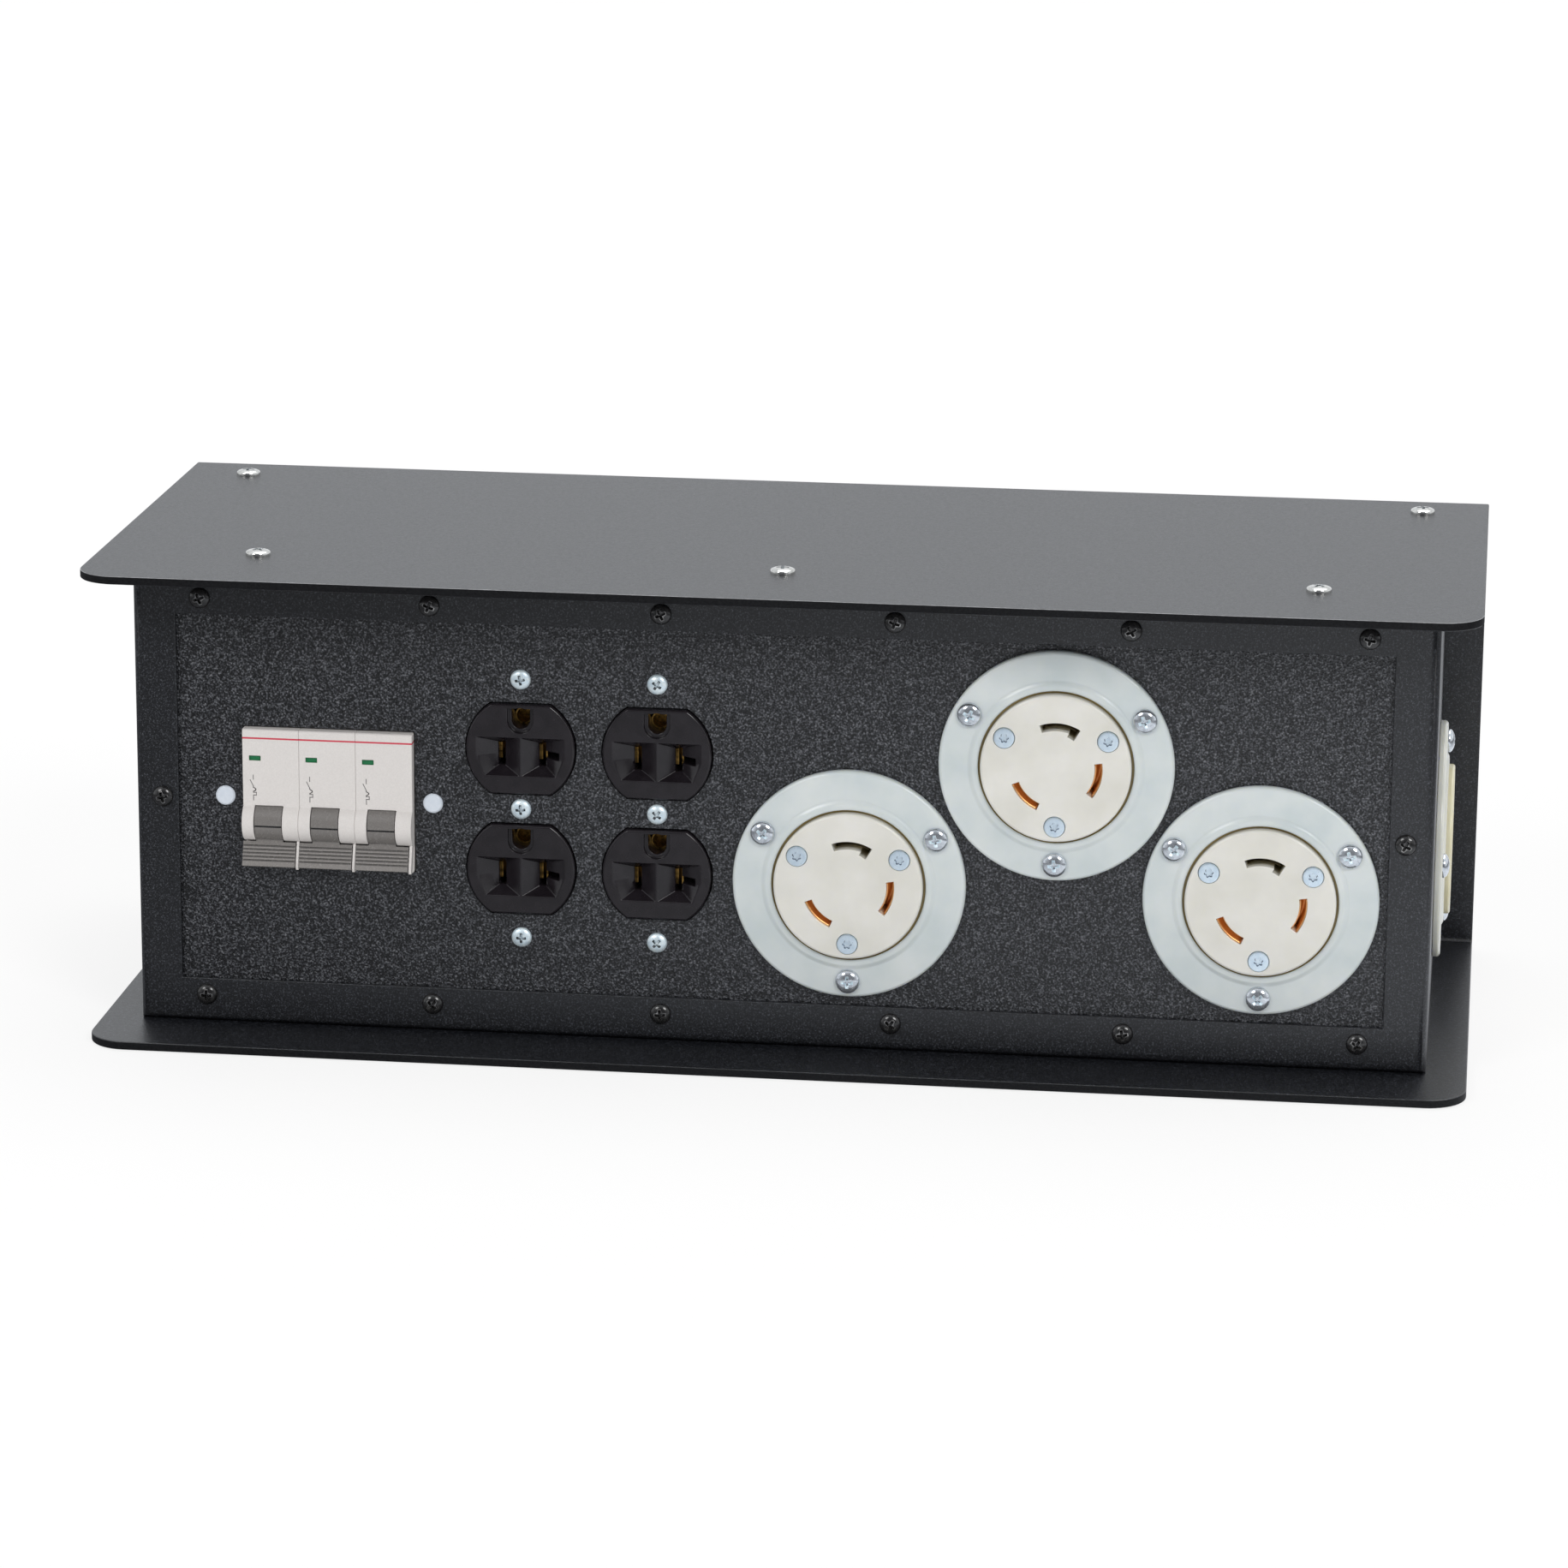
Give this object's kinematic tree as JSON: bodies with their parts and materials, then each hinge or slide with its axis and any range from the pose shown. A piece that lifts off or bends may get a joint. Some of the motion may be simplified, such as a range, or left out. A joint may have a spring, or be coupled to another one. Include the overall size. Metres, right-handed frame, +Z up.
{
  "type": "power stringer box",
  "caption": "Low black steel power box in a bent channel guard, with breakers, duplex receptacles and locking outlets on its front and a flanged inlet on one side.",
  "frame": {"origin": "middle of the channel guard's footprint, on its underside", "axes": "+X to the right along the front, +Y to the back, +Z up"},
  "size_m": [0.4318, 0.1778, 0.1543],
  "materials": {
    "black_powder": "fine texture",
    "black_texture": "coarse texture",
    "black_screw": "satin",
    "zinc_steel": "zinc plated",
    "light_grey_plastic": "matt",
    "dark_grey_plastic": "matt",
    "flag_plastic": "matt",
    "white_rivet": "satin",
    "brown_black_plastic": "semi-gloss",
    "contact_brass": "bright",
    "pale_nylon": "satin",
    "cream_nylon": "satin",
    "black_plastic": "matt"
  },
  "bodies": {
    "box": {"box_shell": "black_powder", "breaker_case_1": "light_grey_plastic", "breaker_case_2": "light_grey_plastic", "breaker_case_3": "light_grey_plastic", "channel_bottom_screws": "zinc_steel", "channel_guard": "black_powder", "channel_nuts": "zinc_steel", "channel_top_screws": "zinc_steel", "din_rail": "zinc_steel", "duplex_body_1": "brown_black_plastic", "duplex_body_2": "brown_black_plastic", "duplex_contacts_1": "contact_brass", "duplex_contacts_2": "contact_brass", "duplex_screws": "zinc_steel", "duplex_strap_1": "zinc_steel", "duplex_strap_2": "zinc_steel", "frame_nuts": "zinc_steel", "frame_screws": "black_screw", "front_panel": "black_texture", "inlet_blades": "contact_brass", "inlet_cup": "cream_nylon", "inlet_flange": "pale_nylon", "inlet_housing": "black_plastic", "inlet_screws": "zinc_steel", "outlet_contacts_1": "contact_brass", "outlet_contacts_2": "contact_brass", "outlet_contacts_3": "contact_brass", "outlet_core_1": "cream_nylon", "outlet_core_2": "cream_nylon", "outlet_core_3": "cream_nylon", "outlet_core_screws": "zinc_steel", "outlet_flange_1": "pale_nylon", "outlet_flange_2": "pale_nylon", "outlet_flange_3": "pale_nylon", "outlet_flange_screws": "zinc_steel", "outlet_housing_1": "black_plastic", "outlet_housing_2": "black_plastic", "outlet_housing_3": "black_plastic", "rail_brackets": "zinc_steel", "rail_rivets": "white_rivet", "rail_screws": "zinc_steel"},
    "breaker_toggle_1": {"breaker_toggle_1": "dark_grey_plastic"},
    "breaker_toggle_2": {"breaker_toggle_2": "dark_grey_plastic"},
    "breaker_toggle_3": {"breaker_toggle_3": "dark_grey_plastic"},
    "breaker_flag_1": {"breaker_flag_1": "flag_plastic"},
    "breaker_flag_2": {"breaker_flag_2": "flag_plastic"},
    "breaker_flag_3": {"breaker_flag_3": "flag_plastic"}
  },
  "joints": [
    {"name": "toggle_1_hinge", "type": "hinge", "parent": "box", "child": "breaker_toggle_1", "pos_m": [-0.1603, -0.0614, 0.0692], "axis": [-1, 0, 0], "range_deg": [0, 100]},
    {"name": "flag_1_slide", "type": "slide", "parent": "box", "child": "breaker_flag_1", "axis": [0, 0, 1], "range_m": [0, 0.0019]},
    {"name": "toggle_2_hinge", "type": "hinge", "parent": "box", "child": "breaker_toggle_2", "pos_m": [-0.1423, -0.0614, 0.0692], "axis": [-1, 0, 0], "range_deg": [0, 100]},
    {"name": "flag_2_slide", "type": "slide", "parent": "box", "child": "breaker_flag_2", "axis": [0, 0, 1], "range_m": [0, 0.0019]},
    {"name": "toggle_3_hinge", "type": "hinge", "parent": "box", "child": "breaker_toggle_3", "pos_m": [-0.1243, -0.0614, 0.0692], "axis": [-1, 0, 0], "range_deg": [0, 100]},
    {"name": "flag_3_slide", "type": "slide", "parent": "box", "child": "breaker_flag_3", "axis": [0, 0, 1], "range_m": [0, 0.0019]}
  ],
  "couplings": [
    {"joint": "flag_1_slide", "follows": "toggle_1_hinge", "m_per_rad": 0.001088},
    {"joint": "flag_2_slide", "follows": "toggle_2_hinge", "m_per_rad": 0.001088},
    {"joint": "flag_3_slide", "follows": "toggle_3_hinge", "m_per_rad": 0.001088}
  ]
}
